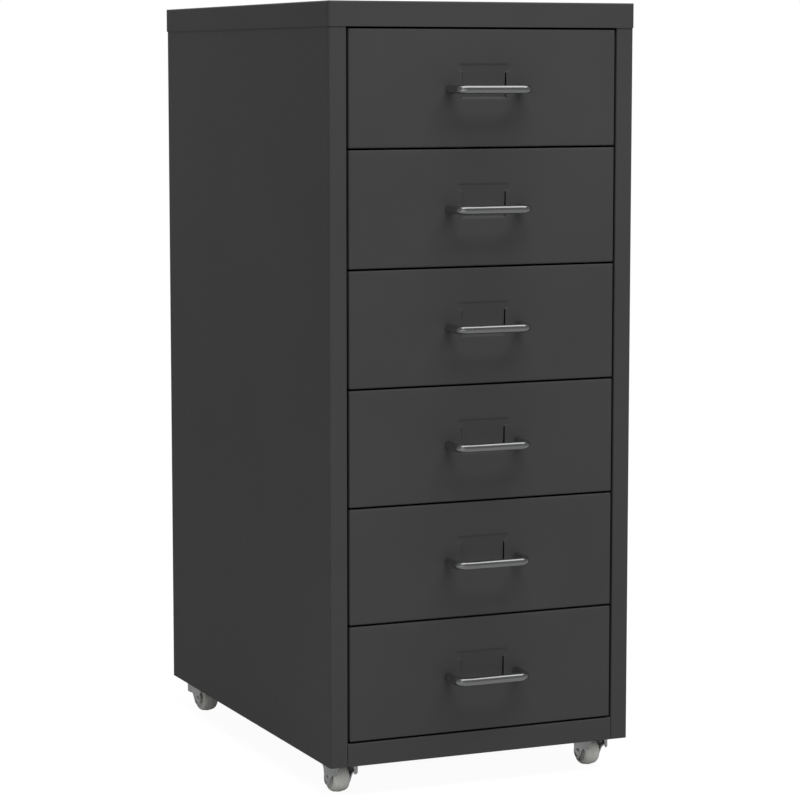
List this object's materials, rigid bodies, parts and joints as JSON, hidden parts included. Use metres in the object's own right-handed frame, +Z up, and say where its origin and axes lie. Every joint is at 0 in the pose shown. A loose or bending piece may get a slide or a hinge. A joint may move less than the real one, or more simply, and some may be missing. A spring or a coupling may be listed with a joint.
{
  "type": "drawer cabinet",
  "caption": "Small sheet-metal drawer cabinet on swivel castors; drawers on side runners, with bent-wire handles and pressed label pockets.",
  "frame": {"origin": "on the floor, in the middle of the whole cabinet's plan, handles and rear screw heads included", "axes": "+X to the right seen from the front, the drawers open towards -Y, +Z up"},
  "size_m": [0.2814, 0.433, 0.6665],
  "materials": {
    "paint": "satin anthracite powder coat",
    "chrome": "polished chrome plate",
    "zinc": "bright zinc plate",
    "wheel": "grey moulded plastic"
  },
  "bodies": {
    "cabinet": {"left_side_panel": "paint", "right_side_panel": "paint", "back_panel": "paint", "top_cover": "paint", "bottom_panel": "paint", "front_bottom_rail": "paint", "castor_nuts": "zinc", "carcass_screws": "zinc", "runner_left_1": "paint", "runner_right_1": "paint", "runner_left_2": "paint", "runner_right_2": "paint", "runner_left_3": "paint", "runner_right_3": "paint", "runner_left_4": "paint", "runner_right_4": "paint", "runner_left_5": "paint", "runner_right_5": "paint", "runner_left_6": "paint", "runner_right_6": "paint", "castor_stem_front_left": "zinc", "castor_stem_front_right": "zinc", "castor_stem_back_left": "zinc", "castor_stem_back_right": "zinc"},
    "drawer_1": {"drawer_box_1": "paint", "drawer_front_1": "paint", "drawer_handle_1": "chrome", "drawer_screws_1": "zinc"},
    "drawer_2": {"drawer_box_2": "paint", "drawer_front_2": "paint", "drawer_handle_2": "chrome", "drawer_screws_2": "zinc"},
    "drawer_3": {"drawer_box_3": "paint", "drawer_front_3": "paint", "drawer_handle_3": "chrome", "drawer_screws_3": "zinc"},
    "drawer_4": {"drawer_box_4": "paint", "drawer_front_4": "paint", "drawer_handle_4": "chrome", "drawer_screws_4": "zinc"},
    "drawer_5": {"drawer_box_5": "paint", "drawer_front_5": "paint", "drawer_handle_5": "chrome", "drawer_screws_5": "zinc"},
    "drawer_6": {"drawer_box_6": "paint", "drawer_front_6": "paint", "drawer_handle_6": "chrome", "drawer_screws_6": "zinc"},
    "fork_front_left": {"castor_fork_front_left": "zinc", "castor_axle_front_left": "zinc"},
    "wheel_front_left": {"castor_wheel_front_left": "wheel"},
    "fork_front_right": {"castor_fork_front_right": "zinc", "castor_axle_front_right": "zinc"},
    "wheel_front_right": {"castor_wheel_front_right": "wheel"},
    "fork_back_left": {"castor_fork_back_left": "zinc", "castor_axle_back_left": "zinc"},
    "wheel_back_left": {"castor_wheel_back_left": "wheel"},
    "fork_back_right": {"castor_fork_back_right": "zinc", "castor_axle_back_right": "zinc"},
    "wheel_back_right": {"castor_wheel_back_right": "wheel"}
  },
  "joints": [
    {"name": "drawer_1_slide", "type": "slide", "parent": "cabinet", "child": "drawer_1", "axis": [0, -1, 0], "range_m": [0, 0.28]},
    {"name": "drawer_2_slide", "type": "slide", "parent": "cabinet", "child": "drawer_2", "axis": [0, -1, 0], "range_m": [0, 0.28]},
    {"name": "drawer_3_slide", "type": "slide", "parent": "cabinet", "child": "drawer_3", "axis": [0, -1, 0], "range_m": [0, 0.28]},
    {"name": "drawer_4_slide", "type": "slide", "parent": "cabinet", "child": "drawer_4", "axis": [0, -1, 0], "range_m": [0, 0.28]},
    {"name": "drawer_5_slide", "type": "slide", "parent": "cabinet", "child": "drawer_5", "axis": [0, -1, 0], "range_m": [0, 0.28]},
    {"name": "drawer_6_slide", "type": "slide", "parent": "cabinet", "child": "drawer_6", "axis": [0, -1, 0], "range_m": [0, 0.28]},
    {"name": "castor_front_left_swivel", "type": "hinge", "parent": "cabinet", "child": "fork_front_left", "pos_m": [-0.1194, -0.16, 0.034], "axis": [0, 0, 1], "continuous": true},
    {"name": "castor_front_left_roll", "type": "hinge", "parent": "fork_front_left", "child": "wheel_front_left", "pos_m": [-0.11961, -0.154, 0.012], "axis": [0.9994, 0.0349, 0], "continuous": true},
    {"name": "castor_front_right_swivel", "type": "hinge", "parent": "cabinet", "child": "fork_front_right", "pos_m": [0.1194, -0.16, 0.034], "axis": [0, 0, 1], "continuous": true},
    {"name": "castor_front_right_roll", "type": "hinge", "parent": "fork_front_right", "child": "wheel_front_right", "pos_m": [0.11898, -0.15401, 0.012], "axis": [0.9976, 0.0698, 0], "continuous": true},
    {"name": "castor_back_left_swivel", "type": "hinge", "parent": "cabinet", "child": "fork_back_left", "pos_m": [-0.1194, 0.185, 0.034], "axis": [0, 0, 1], "continuous": true},
    {"name": "castor_back_left_roll", "type": "hinge", "parent": "fork_back_left", "child": "wheel_back_left", "pos_m": [-0.11857, 0.17906, 0.012], "axis": [-0.9903, -0.1392, 0], "continuous": true},
    {"name": "castor_back_right_swivel", "type": "hinge", "parent": "cabinet", "child": "fork_back_right", "pos_m": [0.1194, 0.185, 0.034], "axis": [0, 0, 1], "continuous": true},
    {"name": "castor_back_right_roll", "type": "hinge", "parent": "fork_back_right", "child": "wheel_back_right", "pos_m": [0.11877, 0.17903, 0.012], "axis": [-0.9945, 0.1045, 0], "continuous": true}
  ]
}
